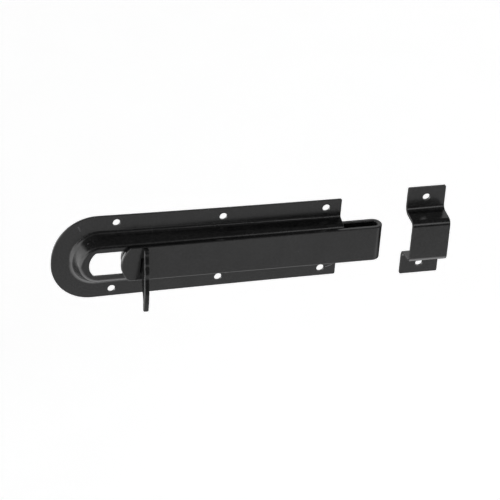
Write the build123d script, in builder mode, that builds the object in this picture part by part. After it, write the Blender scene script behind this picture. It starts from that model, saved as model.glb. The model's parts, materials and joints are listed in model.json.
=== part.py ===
"""Sliding bolt of black painted sheet steel with its keeper, in millimetres.

The bolt is mounted on a door whose face is the plane Y = 0. X is the way the bolt is thrown, towards the
keeper, -Y points out of the door at the user, and +Z is up. The origin lies on the door's face, midway
between the middle pair of screw holes.
"""

from build123d import *
from math import sqrt
import os

# Base plate: the flat flange
plate_sheet = 1.5
plate_left_x = -117.2
plate_right_x = 82.7
nose_half_width = 31.9
middle_half_width = 30.2
end_half_width = 29.5
nose_radius = 52.0
plate_corner_radius = 1.0
shoulder_setback = 2.4
shoulder_radius = nose_half_width - shoulder_setback

# Screw holes: a wide pair near the round end and two narrower pairs
screw_hole_diameter = 5.2
nose_pair_x = -74.0
nose_pair_spacing = 51.6
middle_pair_x = 0.0
end_pair_x = 72.0
straight_pair_spacing = 47.4

# Pressed ridge, measured on its outside above the flange; it narrows from the nose to the open end
ridge_height = 9.7
ridge_nose_x = -104.0
nose_top_half_width = 13.9
nose_foot_half_width = 18.4
end_top_half_width = 14.1
end_foot_half_width = 16.0
nose_top_bend = 3.6
nose_foot_bend = 4.0
end_top_bend = 3.6
end_foot_bend = 1.7

# Long slot in the top of the ridge
slot_left_x = -93.6
slot_width = 18.0
slot_end_radius = 12.0
slot_corner_radius = 1.5

# Bolt: one flat strip folded into a hairpin round the top of the ridge
strip_width = 25.9
strip_thickness = 3.0
leaf_gap = 6.0
leaf_clearance = 0.2
front_leaf_left_x = -72.2
back_leaf_setback = 2.4
leaf_end_radius = 17.0
bolt_tip_x = 110.0

# Handle: a flat claw with a shank through the bolt and a riveted tenon
handle_thickness = 3.5
handle_left_x = -58.2
shank_height = 10.6
shank_middle_z = -1.1
shank_clearance = 0.3
shank_side_gap = 0.9
tenon_height = 7.0
rivet_head_height = 0.9
rivet_head_lip = 0.7

# Throw of the bolt from the pose shown, and what is left at the end of the slot
bolt_throw = 50.0
slot_end_clearance = 0.5

# Keeper: a strap bent over the thrown bolt
keeper_sheet = 2.0
keeper_left_x = 129.2
keeper_width = 26.7
keeper_height = 67.6
keeper_face_height = 31.8
keeper_foot_height = 33.0
keeper_depth = 17.9
keeper_face_bend = 4.2
keeper_foot_bend = 3.4
keeper_hole_spacing = 52.2
keeper_corner_radius = 0.9

# Rounded arrises, and the stretch that is cut off at the open end of the plate
sheet_arris = 0.3
strip_arris = 0.7
handle_arris = 0.7
overrun = 20.0

# Levels out from the door's face
ridge_front = plate_sheet + ridge_height
leaf_back = ridge_front + leaf_clearance
leaf_front = leaf_back + strip_thickness
hairpin_depth = 2 * strip_thickness + leaf_gap
hairpin_back = leaf_front - hairpin_depth
back_leaf_front = hairpin_back + strip_thickness

ridge_centre_x = ridge_nose_x + nose_foot_half_width
flange_clear_z = nose_foot_half_width + nose_foot_bend
end_x = plate_right_x + overrun

handle_middle_x = handle_left_x + handle_thickness / 2
slot_end_rise = slot_end_radius - sqrt(slot_end_radius**2 - (slot_width / 2) ** 2)
slot_right_x = handle_left_x + handle_thickness + bolt_throw + slot_end_clearance + slot_end_rise


def hollow_half_widths(top_half_width, foot_half_width):
    """Half widths of the hollow behind the ridge, one sheet inside its sloping sides."""
    slope = (foot_half_width - top_half_width) / ridge_height
    hollow_foot = foot_half_width + plate_sheet * slope - plate_sheet * sqrt(1 + slope**2)
    return hollow_foot - ridge_height * slope, hollow_foot


def at_cut(nose_value, end_value):
    """Runs a taper from the nose through the open end and on to where the stock is cut off."""
    share = (end_x - ridge_centre_x) / (plate_right_x - ridge_centre_x)
    return nose_value + (end_value - nose_value) * share


def half_section(back, top_half_width, foot_half_width, foot_bend):
    """Corners of half a cross section as (level, half width); back is the level of its flange's back."""
    skirt = foot_half_width + 1.5 * foot_bend
    return [
        (back, 0),
        (back - ridge_front, 0),
        (back - ridge_front, top_half_width),
        (back - plate_sheet, foot_half_width),
        (back - plate_sheet, skirt),
        (back, skirt),
    ]


# Base plate
nose_arc_rise = nose_radius - sqrt(nose_radius**2 - nose_half_width**2)
nose_corner_x = plate_left_x + nose_arc_rise

with BuildPart() as base_plate:
    # The flange, with a flat round nose and sides that draw in beside the ridge
    with BuildSketch(Plane.XZ) as flange:
        with BuildLine():
            ThreePointArc(
                (nose_corner_x, nose_half_width),
                (plate_left_x, 0),
                (nose_corner_x, -nose_half_width),
            )
            ThreePointArc(
                (nose_corner_x, -nose_half_width),
                (middle_pair_x, -middle_half_width),
                (plate_right_x, -end_half_width),
            )
            Polyline(
                (plate_right_x, -end_half_width),
                (end_x, -end_half_width),
                (end_x, end_half_width),
                (plate_right_x, end_half_width),
            )
            ThreePointArc(
                (plate_right_x, end_half_width),
                (middle_pair_x, middle_half_width),
                (nose_corner_x, nose_half_width),
            )
        make_face()
        fillet(flange.vertices().group_by(Axis.X)[0], radius=shoulder_radius)
    extrude(amount=plate_sheet)

    # The ridge, then the hollow behind it, whose bends are the same bends seen from inside
    nose_half_widths = (nose_top_half_width, nose_foot_half_width)
    cut_half_widths = (
        at_cut(nose_top_half_width, end_top_half_width),
        at_cut(nose_foot_half_width, end_foot_half_width),
    )
    cut_top_bend = at_cut(nose_top_bend, end_top_bend)
    cut_foot_bend = at_cut(nose_foot_bend, end_foot_bend)
    nose_hollow = hollow_half_widths(*nose_half_widths)
    cut_hollow = hollow_half_widths(*cut_half_widths)
    for back, nose_widths, cut_widths, mode in (
        (0, nose_half_widths, cut_half_widths, Mode.ADD),
        (plate_sheet, nose_hollow, cut_hollow, Mode.SUBTRACT),
    ):
        # The nose turns its half section round
        nose_bends = [0, 0, nose_top_bend - back, nose_foot_bend + back, 0, 0]
        with BuildSketch(Plane.YZ.offset(ridge_centre_x)) as turned:
            with BuildLine():
                nose_half = half_section(back, *nose_widths, nose_foot_bend + back)
                FilletPolyline(*nose_half, radius=nose_bends, close=True)
            make_face()
        revolve(axis=Axis((ridge_centre_x, 0, 0), (0, -1, 0)), revolution_arc=180, mode=mode)

        # The run to the right tapers from the nose's whole section to the one at the cut
        with BuildSketch(Plane.YZ.offset(ridge_centre_x)):
            add(turned.sketch_local)
            mirror(about=Plane.XZ)
        cut_bends = [0, 0, cut_top_bend - back, cut_foot_bend + back, 0, 0]
        with BuildSketch(Plane.YZ.offset(end_x)):
            with BuildLine():
                cut_half = half_section(back, *cut_widths, cut_foot_bend + back)
                FilletPolyline(*cut_half, radius=cut_bends, close=True)
            make_face()
            mirror(about=Plane.XZ)
        loft(ruled=True, mode=mode)

    # The open right end, cut square across flange and ridge
    split(bisect_by=Plane.YZ.offset(plate_right_x), keep=Keep.BOTTOM)
    corner_edges = base_plate.edges().filter_by(Axis.Y).group_by(Axis.X)[-1]
    fillet(corner_edges.group_by(Axis.Z)[0] + corner_edges.group_by(Axis.Z)[-1], radius=plate_corner_radius)

    # Arris of the flange, front and back
    outline_edges = base_plate.edges().filter_by_position(Axis.Y, -plate_sheet, 0).filter_by(
        lambda e: abs(e.position_at(0.5).Z) > flange_clear_z
        or e.position_at(0.5).X < plate_left_x + 1
    )
    fillet(outline_edges.filter_by(Axis.Y, reverse=True), radius=sheet_arris)

    # The slot that the handle's shank runs in
    with BuildSketch(Plane.XZ.offset(ridge_front + 1)) as slot:
        with BuildLine():
            ThreePointArc(
                (slot_left_x + slot_end_rise, slot_width / 2),
                (slot_left_x, 0),
                (slot_left_x + slot_end_rise, -slot_width / 2),
            )
            Polyline(
                (slot_left_x + slot_end_rise, -slot_width / 2),
                (slot_right_x - slot_end_rise, -slot_width / 2),
            )
            ThreePointArc(
                (slot_right_x - slot_end_rise, -slot_width / 2),
                (slot_right_x, 0),
                (slot_right_x - slot_end_rise, slot_width / 2),
            )
            Polyline(
                (slot_right_x - slot_end_rise, slot_width / 2),
                (slot_left_x + slot_end_rise, slot_width / 2),
            )
        make_face()
        fillet(slot.vertices(), radius=slot_corner_radius)
    extrude(amount=-(plate_sheet + 2), mode=Mode.SUBTRACT)

    # Screw holes, in pairs above and below the ridge
    for pair_x, spacing in (
        (nose_pair_x, nose_pair_spacing),
        (middle_pair_x, straight_pair_spacing),
        (end_pair_x, straight_pair_spacing),
    ):
        with BuildSketch(Plane.XZ):
            with Locations((pair_x, spacing / 2), (pair_x, -spacing / 2)):
                Circle(screw_hole_diameter / 2)
        extrude(amount=plate_sheet, mode=Mode.SUBTRACT)

base_plate.part.label = "base_plate"


# Bolt
bend_centre_x = bolt_tip_x - hairpin_depth / 2
back_leaf_left_x = front_leaf_left_x + back_leaf_setback
bend_middle_y = -(leaf_front + hairpin_back) / 2
leaf_end_rise = leaf_end_radius - sqrt(leaf_end_radius**2 - (strip_width / 2) ** 2)
shank_slot_height = shank_height + 2 * shank_clearance
shank_slot_left_x = handle_left_x - shank_side_gap
shank_slot_right_x = handle_left_x + handle_thickness + shank_clearance

with BuildPart() as bolt:
    # The folded strip seen from its edge
    with BuildSketch(Plane.XY.offset(-strip_width / 2)):
        with BuildLine():
            Polyline(
                (bend_centre_x, -leaf_front),
                (front_leaf_left_x, -leaf_front),
                (front_leaf_left_x, -leaf_back),
                (bend_centre_x, -leaf_back),
            )
            ThreePointArc(
                (bend_centre_x, -leaf_back),
                (bend_centre_x + leaf_gap / 2, bend_middle_y),
                (bend_centre_x, -back_leaf_front),
            )
            Polyline(
                (bend_centre_x, -back_leaf_front),
                (back_leaf_left_x, -back_leaf_front),
                (back_leaf_left_x, -hairpin_back),
                (bend_centre_x, -hairpin_back),
            )
            ThreePointArc(
                (bend_centre_x, -hairpin_back),
                (bolt_tip_x, bend_middle_y),
                (bend_centre_x, -leaf_front),
            )
        make_face()
    extrude(amount=strip_width)

    # Each leaf ends in a shallow arc
    for leaf_left_x, outer_level in (
        (front_leaf_left_x, leaf_front),
        (back_leaf_left_x, back_leaf_front),
    ):
        with BuildSketch(Plane.XZ.offset(outer_level)):
            with Locations((leaf_left_x, 0)):
                Rectangle(leaf_end_rise, strip_width, align=(Align.MIN, Align.CENTER))
            with Locations((leaf_left_x + leaf_end_radius, 0)):
                Circle(leaf_end_radius, mode=Mode.SUBTRACT)
        extrude(amount=-strip_thickness, mode=Mode.SUBTRACT)

    fillet(bolt.edges(), radius=strip_arris)

    # Slot for the shank in the front leaf, and a close hole for its tenon in the back leaf
    with BuildSketch(Plane.XZ.offset(leaf_front)):
        with Locations(((shank_slot_left_x + shank_slot_right_x) / 2, shank_middle_z)):
            Rectangle(shank_slot_right_x - shank_slot_left_x, shank_slot_height)
    extrude(amount=-strip_thickness, mode=Mode.SUBTRACT)
    with BuildSketch(Plane.XZ.offset(back_leaf_front)):
        with Locations((handle_middle_x, shank_middle_z)):
            Rectangle(handle_thickness, tenon_height)
    extrude(amount=-strip_thickness, mode=Mode.SUBTRACT)

bolt.part.label = "bolt"


# Handle: corners of the claw as (out from the front leaf, height, rounding radius)
claw = [
    (0.0, 12.3, 0.9),
    (3.0, 11.9, 2.0),
    (3.8, 9.6, 3.0),
    (4.0, 7.8, 3.0),
    (6.0, 2.9, 3.0),
    (6.1, 1.2, 3.0),
    (8.2, -3.6, 5.0),
    (8.4, -7.3, 8.0),
    (11.3, -17.0, 20.0),
    (12.3, -24.0, 20.0),
    (12.4, -30.4, 0.9),
    (10.4, -30.4, 0.9),
    (8.4, -22.6, 5.0),
    (5.0, -18.0, 4.0),
    (0.0, -8.0, 0.9),
]

with BuildPart() as handle:
    with BuildSketch(Plane.YZ.offset(handle_left_x)):
        with BuildLine():
            FilletPolyline(
                *[(-leaf_front - out, height) for out, height, rounding in claw],
                radius=[rounding for out, height, rounding in claw],
                close=True,
            )
        make_face()
    extrude(amount=handle_thickness)
    fillet(handle.faces().filter_by(Axis.X).edges(), radius=handle_arris)

    # Shank across the hairpin, seated on the back leaf, and the tenon through that leaf
    with BuildSketch(Plane.XZ.offset(leaf_front)):
        with Locations((handle_middle_x, shank_middle_z)):
            Rectangle(handle_thickness, shank_height)
    extrude(amount=-(strip_thickness + leaf_gap))
    with BuildSketch(Plane.XZ.offset(back_leaf_front)):
        with Locations((handle_middle_x, shank_middle_z)):
            Rectangle(handle_thickness, tenon_height)
    extrude(amount=-strip_thickness)

    # The tenon's end, spread into a rivet head
    with BuildSketch(Plane.XZ.offset(hairpin_back)):
        with Locations((handle_middle_x, shank_middle_z)):
            Rectangle(handle_thickness + 2 * rivet_head_lip, tenon_height + 2 * rivet_head_lip)
    extrude(amount=-rivet_head_height)
    fillet(handle.faces().sort_by(Axis.Y)[-1].edges(), radius=rivet_head_height / 2)

handle.part.label = "handle"


# Keeper: the strap's middle line, half a sheet in from the outside of face, legs and feet
leg_slope = (keeper_foot_height - keeper_face_height) / 2 / (keeper_depth - keeper_sheet)
leg_inset = keeper_sheet / 2 * (sqrt(1 + leg_slope**2) - leg_slope)
strap_foot_y = -keeper_sheet / 2
strap_face_y = -(keeper_depth - keeper_sheet / 2)
strap_foot_z = keeper_foot_height / 2 - leg_inset
strap_face_z = keeper_face_height / 2 - leg_inset
face_bend = keeper_face_bend - keeper_sheet / 2
foot_bend = keeper_foot_bend + keeper_sheet / 2
keeper_middle_x = keeper_left_x + keeper_width / 2

with BuildPart() as keeper:
    with BuildSketch(Plane.YZ.offset(keeper_left_x)):
        with BuildLine():
            FilletPolyline(
                (strap_foot_y, -keeper_height / 2),
                (strap_foot_y, -strap_foot_z),
                (strap_face_y, -strap_face_z),
                (strap_face_y, strap_face_z),
                (strap_foot_y, strap_foot_z),
                (strap_foot_y, keeper_height / 2),
                radius=[foot_bend, face_bend, face_bend, foot_bend],
            )
        trace(line_width=keeper_sheet)
    extrude(amount=keeper_width)
    keeper_ends = keeper.faces().sort_by(Axis.Z)
    end_corners = (keeper_ends[0].edges() + keeper_ends[-1].edges()).filter_by(Axis.Y)
    fillet(end_corners, radius=keeper_corner_radius)
    fillet(keeper.edges().filter_by(Axis.Y, reverse=True), radius=sheet_arris)

    # One screw hole in each foot
    with BuildSketch(Plane.XZ):
        with Locations(
            (keeper_middle_x, keeper_hole_spacing / 2),
            (keeper_middle_x, -keeper_hole_spacing / 2),
        ):
            Circle(screw_hole_diameter / 2)
    extrude(amount=keeper_sheet, mode=Mode.SUBTRACT)

keeper.part.label = "keeper"


os.makedirs("parts", exist_ok=True)
export_step(base_plate.part, "parts/base_plate.step")
export_step(bolt.part, "parts/bolt.step")
export_step(handle.part, "parts/handle.step")
export_step(keeper.part, "parts/keeper.step")
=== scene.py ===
# %% [markdown]
# # A sliding door bolt in black painted steel
# The real object is four pieces of steel under one coat of black paint. A plate is pressed with a long
# hollow ridge. The bolt is a flat strip folded into a hairpin, with one leaf over the ridge and the other
# inside it. A claw-shaped handle is riveted through both leaves, and a bent strap stands apart as the
# keeper. The solids come from the CAD model, which fixes their sizes. What is left for Blender is the
# light, the paint, and how the two meet at the bends.

# %% Load the packed CAD model
import json
from math import cos, pi, radians, sin

import bpy
import numpy as np
from mathutils import Matrix


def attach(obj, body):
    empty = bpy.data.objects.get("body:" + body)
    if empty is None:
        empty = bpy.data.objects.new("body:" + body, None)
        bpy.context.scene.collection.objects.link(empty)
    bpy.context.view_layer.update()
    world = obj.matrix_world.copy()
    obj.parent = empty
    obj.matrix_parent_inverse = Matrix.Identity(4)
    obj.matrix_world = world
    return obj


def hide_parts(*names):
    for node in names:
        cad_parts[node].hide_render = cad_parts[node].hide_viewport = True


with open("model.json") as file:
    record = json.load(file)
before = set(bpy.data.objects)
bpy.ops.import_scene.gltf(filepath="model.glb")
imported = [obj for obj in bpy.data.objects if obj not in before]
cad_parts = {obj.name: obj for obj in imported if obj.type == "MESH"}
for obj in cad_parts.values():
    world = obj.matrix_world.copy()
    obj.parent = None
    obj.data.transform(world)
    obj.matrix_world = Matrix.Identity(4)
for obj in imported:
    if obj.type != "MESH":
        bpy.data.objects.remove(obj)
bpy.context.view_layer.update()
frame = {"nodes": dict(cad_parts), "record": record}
scene = bpy.context.scene
scene.view_settings.view_transform = "Standard"
print("pieces:", sorted(frame["nodes"]))

# %% [markdown]
# ## The camera
# A product photograph of small hardware is taken from far away with a long lens, so its parallel edges
# stay nearly parallel. The camera stands 3.35 m away, turned 19 degrees to the left of the door's normal
# and 32 degrees above it, and it is rolled by 5 degrees, which is why the bolt climbs to the right. Its
# three axes are worked out from those angles and put straight into its matrix. That is easier to check
# than a chain of rotations.

# %% Place the camera
camera_yaw = radians(19.203)
camera_pitch = radians(31.583)
camera_roll = radians(5.455)
camera_distance = 3.3525
camera_target = np.array([0.020896, -0.0015, -0.004664])


def stand(thing, side, top, back, place):
    """Puts an object at a place, with its own x, y and z axes along side, top and back.

    The three axes are the first columns of its matrix, and the place is the last one.
    """
    matrix = np.identity(4)
    matrix[:3, :3] = np.stack([side, top, back], axis=1)
    matrix[:3, 3] = place
    thing.matrix_world = Matrix(matrix.tolist())


backward = np.array([
    -sin(camera_yaw) * cos(camera_pitch),
    -cos(camera_yaw) * cos(camera_pitch),
    sin(camera_pitch),
])
level_right = np.array([cos(camera_yaw), -sin(camera_yaw), 0.0])
level_up = np.cross(backward, level_right)
camera_right = cos(camera_roll) * level_right + sin(camera_roll) * level_up
camera_up = -sin(camera_roll) * level_right + cos(camera_roll) * level_up
camera_place = camera_target + backward * camera_distance

camera = bpy.data.objects.new("camera", bpy.data.cameras.new("camera"))
camera.data.sensor_width = 36.0
camera.data.lens = 360.0
camera.data.clip_end = 50.0
stand(camera, camera_right, camera_up, backward, camera_place)
scene.collection.objects.link(camera)
scene.camera = camera
print("camera stands at", np.round(camera_place, 3), "m")

# %% [markdown]
# ## A short way to write shader maths
# A material is a graph of nodes, and even simple sums take many of them. The class below wraps a node's
# output, so that an expression such as `1 - mask * 0.5` adds the Math nodes by itself. `Graph.add` makes
# any other node: its type, its settings, and then the values or links of its sockets. The pair that a
# `ramp` takes is called an edge in this file: where something begins to show, and where it is whole.

# %% Wrap node sockets in Python operators
class Value:
    """A number that a node puts out. Each operator adds one Math node and gives back its output."""

    def __init__(self, graph, socket):
        self.graph = graph
        self.socket = socket

    def math(self, operation, *terms):
        return self.graph.add("ShaderNodeMath", {"operation": operation}, dict(enumerate(terms)))

    def __add__(self, other):
        return self.math("ADD", self, other)

    def __radd__(self, other):
        return self.math("ADD", other, self)

    def __sub__(self, other):
        return self.math("SUBTRACT", self, other)

    def __rsub__(self, other):
        return self.math("SUBTRACT", other, self)

    def __mul__(self, other):
        return self.math("MULTIPLY", self, other)

    def __rmul__(self, other):
        return self.math("MULTIPLY", other, self)

    def __truediv__(self, other):
        return self.math("DIVIDE", self, other)

    def at_most(self, other):
        return self.math("MINIMUM", self, other)

    def at_least(self, other):
        return self.math("MAXIMUM", self, other)

    def ramp(self, start, end):
        """0 at start, 1 at end, eased at both ends. start may be larger than end."""
        settings = {"interpolation_type": "SMOOTHSTEP"}
        sockets = {"Value": self, "From Min": start, "From Max": end, "To Min": 0.0, "To Max": 1.0}
        if start < end:
            return self.graph.add("ShaderNodeMapRange", settings, sockets)
        sockets.update({"From Min": end, "From Max": start, "To Min": 1.0, "To Max": 0.0})
        return self.graph.add("ShaderNodeMapRange", settings, sockets)


print("a Value knows:", sorted(name for name in vars(Value) if not name.startswith("_")))

# %% Wrap the node tree
class Graph:
    """The node tree of a material or of the world."""

    def __init__(self, owner):
        owner.use_nodes = True
        self.tree = owner.node_tree
        self.tree.nodes.clear()

    def add(self, kind, settings=None, sockets=None, output=0):
        """Adds a node, sets it up, feeds its sockets and gives back one output as a Value."""
        node = self.tree.nodes.new(kind)
        for name, setting in (settings or {}).items():
            setattr(node, name, setting)
        for name, given in (sockets or {}).items():
            if isinstance(given, Value):
                self.tree.links.new(given.socket, node.inputs[name])
            else:
                node.inputs[name].default_value = given
        return Value(self, node.outputs[output] if node.outputs else None)

    def split(self, vector):
        """The x, y and z of a vector as three Values."""
        x = self.add("ShaderNodeSeparateXYZ", {}, {"Vector": vector})
        return [Value(self, part) for part in x.socket.node.outputs]

    def mix_colors(self, share, first, second):
        """The first colour where share is 0 and the second where it is 1.

        A Mix node has sockets for every kind of data. Its factor is socket 0, its two colours are
        sockets 6 and 7, and the mixed colour is output 2.
        """
        return self.add("ShaderNodeMix", {"data_type": "RGBA"}, {0: share, 6: first, 7: second}, output=2)

    def mix_shaders(self, share, first, second):
        """The first shader where share is 0 and the second where it is 1."""
        return self.add("ShaderNodeMixShader", {}, {0: share, 1: first, 2: second})


print("a Graph knows:", sorted(name for name in vars(Graph) if not name.startswith("_")))

# %% [markdown]
# ## The studio
# Black gloss paint has almost no colour of its own. What the eye reads on it is the room, so the room is
# written as a function of direction. The useful angle is the one that a ray turns through over the bolt:
# 0 degrees points straight out of the door, 90 points up and 180 into the wall, and negative angles point
# down. Most bends of the sheet run along the bolt, so they sweep through this angle and show the whole
# room as a row of bands. The room is dark straight ahead and overhead, a little lighter in between, and
# bright behind and on the left. Real walls and cards would do this too, but a function has its edges
# exactly where the bands in the paint need them. All of it is plain white to the camera itself, as behind
# a product on white paper.

# %% Light the room
white = (1, 1, 1, 1)
room_everywhere = 0.11
haze_light = 0.22
behind_light = 0.8
left_light = 2.2

# Edges in degrees of turn.
haze_low_edge = (18, 30)
haze_high_edge = (52, 40)
behind_edge = (120, 150)
# Edges of the left wall: how far a direction of length 1 points to the right, and how far up.
left_side_edge = (-0.42, -0.62)
left_top_edge = (0.66, 0.44)

# In a world, Generated is the direction in which a ray looks.
world = bpy.data.worlds.new("studio")
scene.world = world
studio = Graph(world)
direction = studio.add("ShaderNodeTexCoord", output="Generated")
dir_x, dir_y, dir_z = studio.split(direction)
degrees_in_a_radian = 180 / pi
turn = dir_z.math("ARCTAN2", dir_z, dir_y * -1) * degrees_in_a_radian
haze = turn.ramp(*haze_low_edge) * turn.ramp(*haze_high_edge) * haze_light
behind = turn.ramp(*behind_edge) * behind_light
left_wall = dir_x.ramp(*left_side_edge) * dir_z.ramp(*left_top_edge) * left_light
room = room_everywhere + haze + behind + left_wall
room_light = studio.add("ShaderNodeBackground", {}, {"Color": room, "Strength": 1.0})
white_light = studio.add("ShaderNodeBackground", {}, {"Color": white, "Strength": 1.0})
straight_look = studio.add("ShaderNodeLightPath", output="Is Camera Ray")
seen_room = studio.mix_shaders(straight_look, room_light, white_light)
studio.add("ShaderNodeOutputWorld", {}, {"Surface": seen_room})
print("world nodes:", len(world.node_tree.nodes))

# %% [markdown]
# ## The key light
# The thin bright lines along the bends are the mirrored shape of a lamp. A sun or a point lamp would draw
# them hard and white, so a soft box is used, a flat rectangle that shines evenly. It hangs in front, above
# and to the right. Its left edge stands so that the bends catch it at the bolt's right end and on the
# keeper, and lose it little by little towards the nose.

# %% Hang the key light
# A flat lamp's power is its radiance times pi times its area.
key_size = (0.52, 0.42)
key_radiance = 2.0
key_place = np.array([0.61, -0.80, 0.53])
key_aim = np.array([0.10, 0.0, 0.0])
key_back = (key_place - key_aim) / np.linalg.norm(key_place - key_aim)
key_side = np.cross([0.0, 0.0, 1.0], key_back)
key_side /= np.linalg.norm(key_side)

key_light = bpy.data.lights.new("key_light", "AREA")
key_light.shape = "RECTANGLE"
key_light.size, key_light.size_y = key_size
key_light.energy = key_radiance * pi * key_size[0] * key_size[1]
key_lamp = bpy.data.objects.new("key_light", key_light)
stand(key_lamp, key_side, np.cross(key_back, key_side), key_back, key_place)
scene.collection.objects.link(key_lamp)
print("key light:", round(key_light.energy, 2), "W")

# %% [markdown]
# ## The floor
# The floor is a wide pale sheet, a good way below the bolt, since the real one is screwed to a door. Every
# face that looks out of the door reflects it, at about 0.4 m in front. A real studio would have dark and
# white cards lying there. Here the sheet has a radiance of its own for rays that come off the paint: grey
# in front, brighter close in, where only edges that face a little down can find it, bright on the left,
# dim close in on the right, and a little lighter again far behind. To the camera it is plain white paper.

# %% Lay the floor
floor_level = -0.25
floor_half = 6.0
floor_mesh = bpy.data.meshes.new("floor")
floor_corners = np.array([[-1, -1], [1, -1], [1, 1], [-1, 1]]) * floor_half
floor_points = np.column_stack([floor_corners, np.full(4, floor_level)])
floor_mesh.from_pydata(floor_points.tolist(), [], [[0, 1, 2, 3]])
floor = bpy.data.objects.new("floor", floor_mesh)
scene.collection.objects.link(floor)
print("floor lies", round(-floor_level * 1000), "mm below the bolt's middle")

# %% Say what the paint finds on the floor
mirrored_everywhere = 0.12
mirrored_in_front = 0.71
extra_close_in = 1.6
loss_beside = 0.85
mirrored_on_left = 2.9
mirrored_far_behind = 0.7

# Edges in metres: x is to the right, and y is into the wall.
front_far_edge = (-1.20, -0.60)
front_wall_edge = (0.08, 0.0)
close_in_edge = (-0.30, -0.16)
beside_x_edge = (0.30, 0.42)
beside_y_edge = (-0.26, -0.12)
floor_left_edge = (-0.22, -0.45)
far_behind_edge = (0.25, 0.60)

floor_paper = bpy.data.materials.new("floor_paper")
paper = Graph(floor_paper)
paper_place = paper.add("ShaderNodeTexCoord", output="Object")
paper_x, paper_y = paper.split(paper_place)[:2]
front = paper_y.ramp(*front_far_edge) * paper_y.ramp(*front_wall_edge)
beside = 1 - paper_x.ramp(*beside_x_edge) * paper_y.ramp(*beside_y_edge) * loss_beside
close_in = paper_y.ramp(*close_in_edge) * extra_close_in
in_front = front * beside * (mirrored_in_front + close_in)
on_left = paper_x.ramp(*floor_left_edge) * mirrored_on_left
far_behind = paper_y.ramp(*far_behind_edge) * mirrored_far_behind
mirrored = mirrored_everywhere + in_front.at_least(on_left).at_least(far_behind)
print("nodes for what is mirrored:", len(floor_paper.node_tree.nodes))

# %% Give the floor its paper
# The glow keeps the sheet white to the camera, and the diffuse part under it carries the soft shadow.
paper_scale = 30.0
darker_paper = (0.80, 0.80, 0.80, 1)
lighter_paper = (0.84, 0.84, 0.84, 1)
glow_strength = 0.6

clouds = paper.add("ShaderNodeTexNoise", {}, {"Vector": paper_place, "Scale": paper_scale, "Detail": 4.0})
sheet_color = paper.mix_colors(clouds, darker_paper, lighter_paper)
sheet = paper.add("ShaderNodeBsdfDiffuse", {}, {"Color": sheet_color, "Roughness": 0.5})
glow = paper.add("ShaderNodeEmission", {}, {"Color": white, "Strength": glow_strength})
glowing_sheet = paper.add("ShaderNodeAddShader", {}, {0: sheet, 1: glow})
camera_ray = paper.add("ShaderNodeLightPath", output="Is Camera Ray")
seen_sheet = paper.mix_shaders(camera_ray, sheet, glowing_sheet)
mirrored_sheet = paper.add("ShaderNodeEmission", {}, {"Color": mirrored, "Strength": 1.0})
glossy_ray = paper.add("ShaderNodeLightPath", output="Is Glossy Ray")
either_sheet = paper.mix_shaders(glossy_ray, seen_sheet, mirrored_sheet)
paper.add("ShaderNodeOutputMaterial", {}, {"Surface": either_sheet})
floor_mesh.materials.append(floor_paper)
print("floor nodes:", len(floor_paper.node_tree.nodes))

# %% [markdown]
# ## The black paint
# The coat is sprayed black enamel with a soft gloss. Its black isn't one colour: there is a fine grain in
# it, a millimetre or two across, over broader clouds, and both are only a little paler than the deepest
# black. The surface has a faint ripple, and its roughness drifts a little, so that reflections aren't
# perfectly even. Specks of dust and a few pale scuffs lie on it, and each scuff is a mask: how far a point
# is from a short line, torn by noise. A picture of scratches would do the same, but a line can be put
# exactly where the real mark is.

# %% Draw one scuff
def scuff(graph, place, start, end, reach, noise):
    """Mask that is 1 close to the line from start to end and 0 beyond reach from it, with a torn edge.

    The nearest point of the line is start + t (end - start), where t is the point's offset from start
    projected on the line and divided by its length squared, held between 0 and 1. The noise, less its
    mean, moves the mask's edge by up to half of reach.
    """
    whole_share = 0.45
    noise_mean = 0.5
    along = np.subtract(end, start)
    offset = graph.add("ShaderNodeVectorMath", {"operation": "SUBTRACT"}, {0: place, 1: start})
    dot = graph.add(
        "ShaderNodeVectorMath",
        {"operation": "DOT_PRODUCT"},
        {0: offset, 1: tuple(along)},
        output="Value",
    )
    t = (dot / float(along @ along)).at_least(0.0).at_most(1.0)
    nearest = graph.add("ShaderNodeVectorMath", {"operation": "SCALE"}, {0: tuple(along), "Scale": t})
    gap = graph.add(
        "ShaderNodeVectorMath",
        {"operation": "DISTANCE"},
        {0: offset, 1: nearest},
        output="Value",
    )
    return (gap + (noise - noise_mean) * reach).ramp(reach, reach * whole_share)


black_paint = bpy.data.materials.new("black_enamel")
enamel = Graph(black_paint)
spot = enamel.add("ShaderNodeTexCoord", output="Object")
print("material:", black_paint.name)

# %% Make the paint's patterns
# Scales are in features per metre.
mottle_scale = 55.0
grain_scale = 700.0
peel_scale = 420.0
mottle_sockets = {"Vector": spot, "Scale": mottle_scale, "Detail": 5.0, "Roughness": 0.6}
mottle = enamel.add("ShaderNodeTexNoise", {}, mottle_sockets)
grain = enamel.add("ShaderNodeTexNoise", {}, {"Vector": spot, "Scale": grain_scale, "Detail": 2.0})
peel = enamel.add("ShaderNodeTexNoise", {}, {"Vector": spot, "Scale": peel_scale, "Detail": 1.5})
print("grain is", round(1000 / grain_scale, 1), "mm across, peel", round(1000 / peel_scale, 1), "mm")

# %% Add dust and scuffs
# Every cell of the dust field can hold one speck, and only the paler parts of the mottle are dusty. The
# speck's edge is a share of the cell's size.
dust_scale = 160.0
speck_edge = (0.045, 0.02)
dusty_edge = (0.55, 0.62)
dust_strength = 0.25

# Each mark has a start, an end, a reach and a strength. The first two lie on the flange, beside the nose
# and by the lower right screw hole. The third is a small chip on the ridge's wall round the nose.
flange_front = -0.0016
marks = [
    ((-0.1002, flange_front, 0.0249), (-0.0988, flange_front, 0.0215), 0.0006, 0.25),
    ((0.0758, flange_front, -0.0232), (0.0799, flange_front, -0.0220), 0.0005, 0.45),
    ((-0.0942, -0.0061, 0.0139), (-0.0938, -0.0061, 0.0138), 0.0005, 0.30),
]

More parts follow.
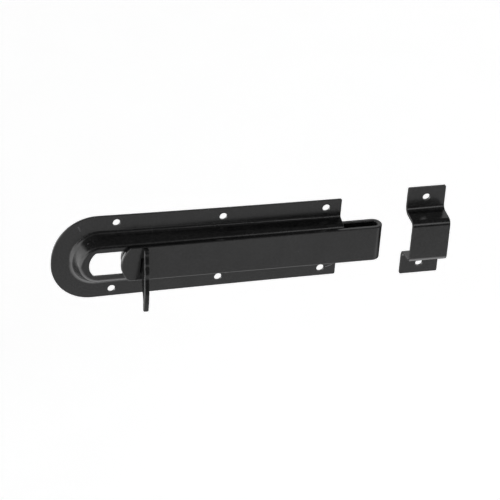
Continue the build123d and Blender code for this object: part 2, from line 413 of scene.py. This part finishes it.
dust_sockets = {"Vector": spot, "Scale": dust_scale}
dust_field = enamel.add("ShaderNodeTexVoronoi", {}, dust_sockets, output="Distance")
dust = dust_field.ramp(*speck_edge) * mottle.ramp(*dusty_edge)
pale = dust * dust_strength
for start, end, reach, strength in marks:
    pale = pale.at_least(scuff(enamel, spot, start, end, reach, grain) * strength)
print("marks on the paint:", len(marks))

# %% Mix the paint
deepest_black = (0.0020, 0.0020, 0.0021, 1)
palest_black = (0.0150, 0.0150, 0.0155, 1)
scuffed_grey = (0.30, 0.30, 0.31, 1)
grain_edge = (0.36, 0.64)
mottle_edge = (0.35, 0.65)
grain_share = 0.7

least_roughness = 0.17
mottle_roughness = 0.08
scuff_roughness = 0.3

ripple_height = 0.00004
ripple_strength = 0.10
grain_in_ripple = 0.3

unevenness = grain.ramp(*grain_edge) * grain_share + mottle.ramp(*mottle_edge) * (1 - grain_share)
coat_color = enamel.mix_colors(unevenness, deepest_black, palest_black)
worn_color = enamel.mix_colors(pale, coat_color, scuffed_grey)
coat_roughness = least_roughness + mottle * mottle_roughness + pale * scuff_roughness
ripple = enamel.add(
    "ShaderNodeBump",
    {},
    {"Height": peel + grain * grain_in_ripple, "Strength": ripple_strength, "Distance": ripple_height},
)
surface = enamel.add(
    "ShaderNodeBsdfPrincipled",
    {},
    {"Base Color": worn_color, "Roughness": coat_roughness, "Normal": ripple, "IOR": 1.5, "Metallic": 0.0},
)
enamel.add("ShaderNodeOutputMaterial", {}, {"Surface": surface})
print("paint nodes:", len(black_paint.node_tree.nodes))

# %% [markdown]
# ## The painted pieces
# The CAD model arrives as loose triangles, flat shaded, and a gloss coat would show every one of them at
# the bends. So each piece is a welded copy of its solid. Points in the same place become one point, and
# the shading runs smoothly round the bends and the small rounded arrises. The flat faces must stay flat,
# and a Weighted Normal modifier sees to that: at each point the largest face decides the direction. A
# subdivided mesh would be smooth too, but it would pull the arrises in and leave the CAD model's shape.

# %% Weld the triangles of a solid
weld_steps_in_a_metre = 1e7
sharp_turn = radians(50)


def welded(node_name):
    """A copy of a CAD node whose triangles share their corners.

    Corners are rounded to a tenth of a micron and each distinct one is kept once; a triangle that has
    two of its corners in one place has no area and is dropped.
    """
    source = frame["nodes"][node_name].data
    source.calc_loop_triangles()
    flat_points = np.empty(len(source.vertices) * 3)
    source.vertices.foreach_get("co", flat_points)
    points = flat_points.reshape(-1, 3)
    corners = np.empty(len(source.loop_triangles) * 3, dtype=np.int64)
    source.loop_triangles.foreach_get("vertices", corners)

    steps = np.round(points * weld_steps_in_a_metre).astype(np.int64)
    _, first, inverse = np.unique(steps, axis=0, return_index=True, return_inverse=True)
    triangles = inverse.reshape(-1)[corners].reshape(-1, 3)
    distinct = (triangles[:, 0] != triangles[:, 1]) & (triangles[:, 1] != triangles[:, 2])
    distinct &= triangles[:, 2] != triangles[:, 0]

    mesh = bpy.data.meshes.new(node_name + "_painted")
    mesh.from_pydata(points[first].tolist(), [], triangles[distinct].tolist())
    mesh.polygons.foreach_set("use_smooth", np.ones(len(mesh.polygons), dtype=bool))
    mesh.set_sharp_from_angle(angle=sharp_turn)
    print(node_name, "keeps", len(mesh.vertices), "of", len(points), "points")
    return mesh


# %% Paint every piece
flat_face_weight = 90


def paint(node_name, body):
    """Puts the painted piece in the place of its CAD node."""
    mesh = welded(node_name)
    mesh.materials.append(black_paint)
    piece = bpy.data.objects.new(node_name + "_painted", mesh)
    scene.collection.objects.link(piece)
    flatten = piece.modifiers.new("flat faces stay flat", "WEIGHTED_NORMAL")
    flatten.mode = "FACE_AREA"
    flatten.weight = flat_face_weight
    flatten.keep_sharp = True
    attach(piece, body)
    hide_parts(node_name)
    print(piece.name, "has", len(mesh.polygons), "triangles")


for body, node_names in frame["record"]["behaviour"]["bodies"].items():
    for node_name in node_names:
        paint(node_name, body)
